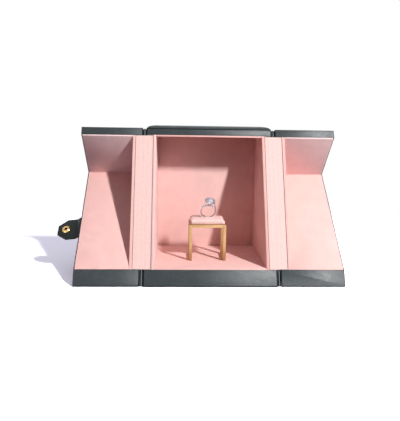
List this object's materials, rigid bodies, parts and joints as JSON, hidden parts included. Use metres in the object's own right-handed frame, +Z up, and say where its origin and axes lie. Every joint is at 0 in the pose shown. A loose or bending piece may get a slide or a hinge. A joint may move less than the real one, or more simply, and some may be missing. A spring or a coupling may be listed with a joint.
{
  "type": "hinged ring presentation box",
  "caption": "Upright leather-covered ring box that opens on two side-hinged wedge doors, closed by a snap strap, with a metal stool and cushion that show a ring.",
  "frame": {"origin": "centre of the case's flat underside", "axes": "+Z up, +Y to the back of the case, +X to the right seen from the open front"},
  "size_m": [0.3659, 0.1448, 0.1935],
  "materials": {
    "slate_leather": "slate green-grey leather, fine pebble grain, low sheen",
    "board": "grey-brown box board, hidden under the leather and lining",
    "pink_suede": "pink microsuede on card, short nap",
    "hinge_fabric": "paler pink woven hinge tape",
    "cushion_suede": "pink suede over a firm pad",
    "seat_board": "dark stained seat board",
    "brass": "satin brass bar",
    "snap_brass": "polished brass press stud",
    "white_metal": "polished white metal",
    "clear_stone": "cut clear stone"
  },
  "bodies": {
    "case": {"base_board": "board", "top_board": "board", "back_board": "board", "left_side_board": "board", "right_side_board": "board", "base_cover": "slate_leather", "case_cover": "slate_leather", "floor_lining": "pink_suede", "ceiling_lining": "pink_suede", "back_lining": "pink_suede", "left_side_lining": "pink_suede", "right_side_lining": "pink_suede", "left_case_hinge_liner": "hinge_fabric", "right_case_hinge_liner": "hinge_fabric", "stool_left_front_leg": "brass", "stool_left_back_leg": "brass", "stool_left_top_rail": "brass", "stool_left_floor_rail": "brass", "stool_right_front_leg": "brass", "stool_right_back_leg": "brass", "stool_right_top_rail": "brass", "stool_right_floor_rail": "brass", "stool_front_rail": "brass", "stool_back_rail": "brass", "stool_seat_board": "seat_board", "stool_cushion": "cushion_suede"},
    "left_door": {"left_door_panel_board": "board", "left_door_top_board": "board", "left_door_side_board": "board", "left_door_cover": "slate_leather", "left_door_panel_lining": "pink_suede", "left_door_top_lining": "pink_suede", "left_door_side_lining": "pink_suede", "left_door_hinge_liner": "hinge_fabric", "strap_sewn_end": "slate_leather"},
    "right_door": {"right_door_panel_board": "board", "right_door_top_board": "board", "right_door_side_board": "board", "right_door_cover": "slate_leather", "right_door_panel_lining": "pink_suede", "right_door_top_lining": "pink_suede", "right_door_side_lining": "pink_suede", "right_door_hinge_liner": "hinge_fabric", "snap_stud": "snap_brass"},
    "strap": {"strap_inner_ply": "slate_leather", "strap_outer_ply": "slate_leather", "snap_socket": "snap_brass", "snap_cap": "snap_brass"},
    "ring": {"ring_band": "white_metal", "ring_head": "white_metal", "centre_stone": "clear_stone", "halo_stones": "clear_stone"}
  },
  "joints": [
    {"name": "left_door_hinge", "type": "hinge", "parent": "case", "child": "left_door", "pos_m": [-0.08465, -0.0725, 0], "axis": [0, 0.4067, 0.9135], "range_deg": [0, 180]},
    {"name": "right_door_hinge", "type": "hinge", "parent": "case", "child": "right_door", "pos_m": [0.08465, -0.0725, 0], "axis": [0, -0.4067, -0.9135], "range_deg": [0, 180]},
    {"name": "strap_flex", "type": "hinge", "parent": "left_door", "child": "strap", "pos_m": [-0.16595, -0.00327, 0.05911], "axis": [0, -0.7431, -0.6691], "range_deg": [-10, 65]},
    {"name": "ring_lift", "type": "slide", "parent": "case", "child": "ring", "axis": [0, 0, 1], "range_m": [0, 0.04]}
  ]
}
